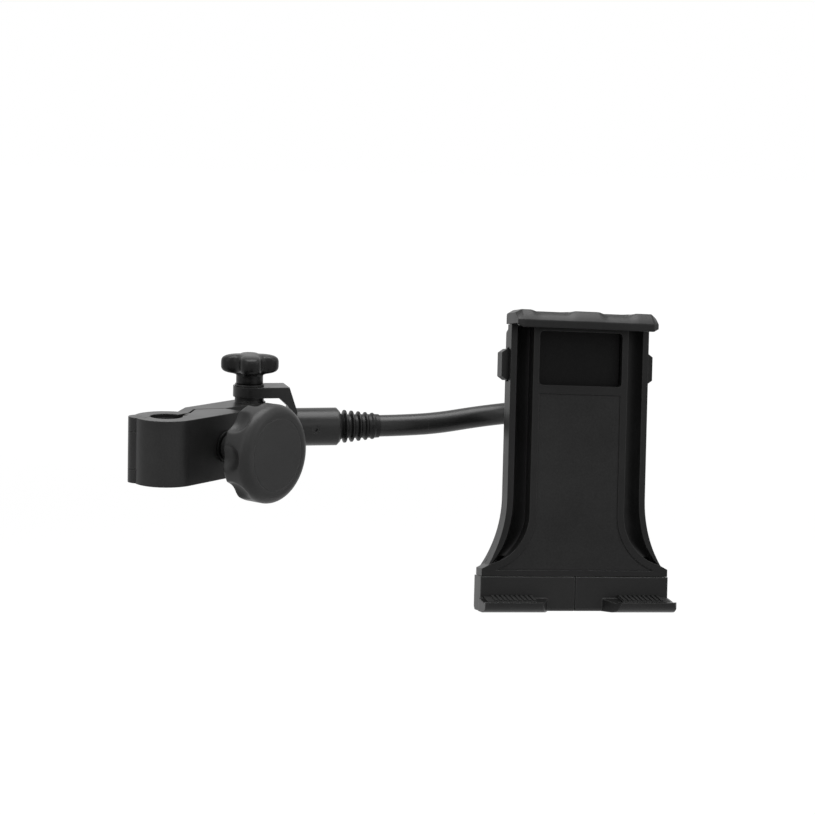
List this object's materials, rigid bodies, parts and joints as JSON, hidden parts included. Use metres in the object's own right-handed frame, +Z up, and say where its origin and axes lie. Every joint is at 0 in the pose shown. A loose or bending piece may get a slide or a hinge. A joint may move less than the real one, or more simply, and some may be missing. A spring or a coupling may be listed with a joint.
{
  "type": "microphone stand tablet holder",
  "caption": "Black pole clamp with a swivel fork, a short flexible arm, a ball joint and a cradle that grips a tablet.",
  "frame": {"origin": "axis of the clamped tube at the middle of the jaws", "axes": "+Z up the clamped tube, +X along the arm, the cradle faces -Y"},
  "size_m": [0.3456, 0.1327, 0.1967],
  "materials": {
    "moulded_black": "satin",
    "cap_black": "satin",
    "rubber": "matte",
    "sleeve": "satin",
    "steel": "brushed",
    "black_steel": "black oxide",
    "nylon": "matte",
    "brass": "machined"
  },
  "bodies": {
    "clamp_base": {"rear_jaw": "moulded_black", "rear_jaw_liner": "rubber", "hinge_pin": "steel", "thread_insert": "brass", "swivel_washers": "nylon"},
    "clamp_flap": {"front_jaw": "moulded_black", "front_jaw_liner": "rubber"},
    "thrust_ring": {"thrust_washer": "steel"},
    "hand_knob": {"clamp_knob": "moulded_black", "knob_cap": "cap_black", "clamp_screw": "steel"},
    "fork": {"swivel_fork": "moulded_black", "swivel_bolt": "steel", "collar_ferrule": "black_steel", "set_screw": "black_steel", "strain_relief": "rubber"},
    "star_ring": {"star_washer": "steel"},
    "star": {"star_knob": "moulded_black"},
    "flexible_arm": {"gooseneck_sleeve": "sleeve", "gooseneck_core": "steel"},
    "arm_tip": {"end_ferrule": "black_steel", "ball_stud": "steel"},
    "socket_ring": {"lock_ring": "moulded_black"},
    "cradle": {"cradle_front": "moulded_black", "cradle_back": "moulded_black", "cover_screws": "black_steel", "grip_pad": "rubber", "left_button_spring": "black_steel", "right_button_spring": "black_steel"},
    "jaw_slide": {"top_slide": "moulded_black", "top_jaw": "moulded_black", "jaw_pad": "rubber", "jaw_screws": "black_steel"},
    "left_release": {"left_button": "moulded_black"},
    "right_release": {"right_button": "moulded_black"},
    "left_base": {"left_foot": "moulded_black", "left_foot_pad": "rubber"},
    "right_base": {"right_foot": "moulded_black", "right_foot_pad": "rubber"}
  },
  "joints": [
    {"name": "clamp_screw_travel", "type": "slide", "parent": "clamp_base", "child": "thrust_ring", "axis": [0.6293, -0.7771, 0], "range_m": [0, 0.00625]},
    {"name": "clamp_knob_turn", "type": "hinge", "parent": "thrust_ring", "child": "hand_knob", "pos_m": [0.03901, 0.00585, 0], "axis": [0.6293, -0.7771, 0], "range_deg": [0, 1801]},
    {"name": "clamp_opening", "type": "hinge", "parent": "clamp_base", "child": "clamp_flap", "pos_m": [-0.01691, 0.00149, 0], "axis": [0, 0, -1], "range_deg": [0, 6.05]},
    {"name": "fork_swivel", "type": "hinge", "parent": "clamp_base", "child": "fork", "pos_m": [0.06213, 0.05675, 0], "axis": [0, 0, 1], "range_deg": [-35, 75]},
    {"name": "star_knob_travel", "type": "slide", "parent": "fork", "child": "star_ring", "axis": [0, 0, 1], "range_m": [0, 0.0025]},
    {"name": "star_knob_turn", "type": "hinge", "parent": "star_ring", "child": "star", "pos_m": [0.06213, 0.05675, 0], "axis": [0, 0, 1], "range_deg": [0, 721]},
    {"name": "arm_swing", "type": "hinge", "parent": "fork", "child": "flexible_arm", "pos_m": [0.152, 0.05675, 0.003], "axis": [0, 0, 1], "range_deg": [-25, 15], "deforming": ["gooseneck_sleeve", "gooseneck_core"]},
    {"name": "arm_lift", "type": "hinge", "parent": "flexible_arm", "child": "arm_tip", "pos_m": [0.197, 0.0615, 0.004], "axis": [0, -1, 0], "range_deg": [-15, 25], "deforming": ["gooseneck_sleeve", "gooseneck_core"]},
    {"name": "cradle_tilt", "type": "hinge", "parent": "arm_tip", "child": "socket_ring", "pos_m": [0.26242, 0.01115, 0.01995], "axis": [1, 0, 0], "range_deg": [-15, 25]},
    {"name": "cradle_spin", "type": "hinge", "parent": "socket_ring", "child": "cradle", "pos_m": [0.26242, 0.01115, 0.01995], "axis": [0, 0.9877, -0.1564], "range_deg": [-95, 95]},
    {"name": "jaw_slide_travel", "type": "slide", "parent": "cradle", "child": "jaw_slide", "axis": [0.0366, 0.1563, 0.987], "range_m": [0, 0.06]},
    {"name": "left_button_press", "type": "slide", "parent": "cradle", "child": "left_release", "axis": [0.9993, -0.0057, -0.0362], "range_m": [0, 0.002], "stiffness_N_per_m": 900, "deforming": ["left_button_spring"]},
    {"name": "right_button_press", "type": "slide", "parent": "cradle", "child": "right_release", "axis": [-0.9993, 0.0057, 0.0362], "range_m": [0, 0.002], "stiffness_N_per_m": 900, "deforming": ["right_button_spring"]},
    {"name": "left_foot_slide", "type": "slide", "parent": "cradle", "child": "left_base", "axis": [-0.9993, 0.0057, 0.0362], "range_m": [0, 0.018]},
    {"name": "right_foot_slide", "type": "slide", "parent": "cradle", "child": "right_base", "axis": [0.9993, -0.0057, -0.0362], "range_m": [0, 0.018]}
  ],
  "couplings": [
    {"joint": "clamp_knob_turn", "follows": "clamp_screw_travel", "rad_per_m": 5026.5},
    {"joint": "clamp_opening", "follows": "clamp_screw_travel", "rad_per_m": 16.755},
    {"joint": "star_knob_turn", "follows": "star_knob_travel", "rad_per_m": 5026.5}
  ]
}
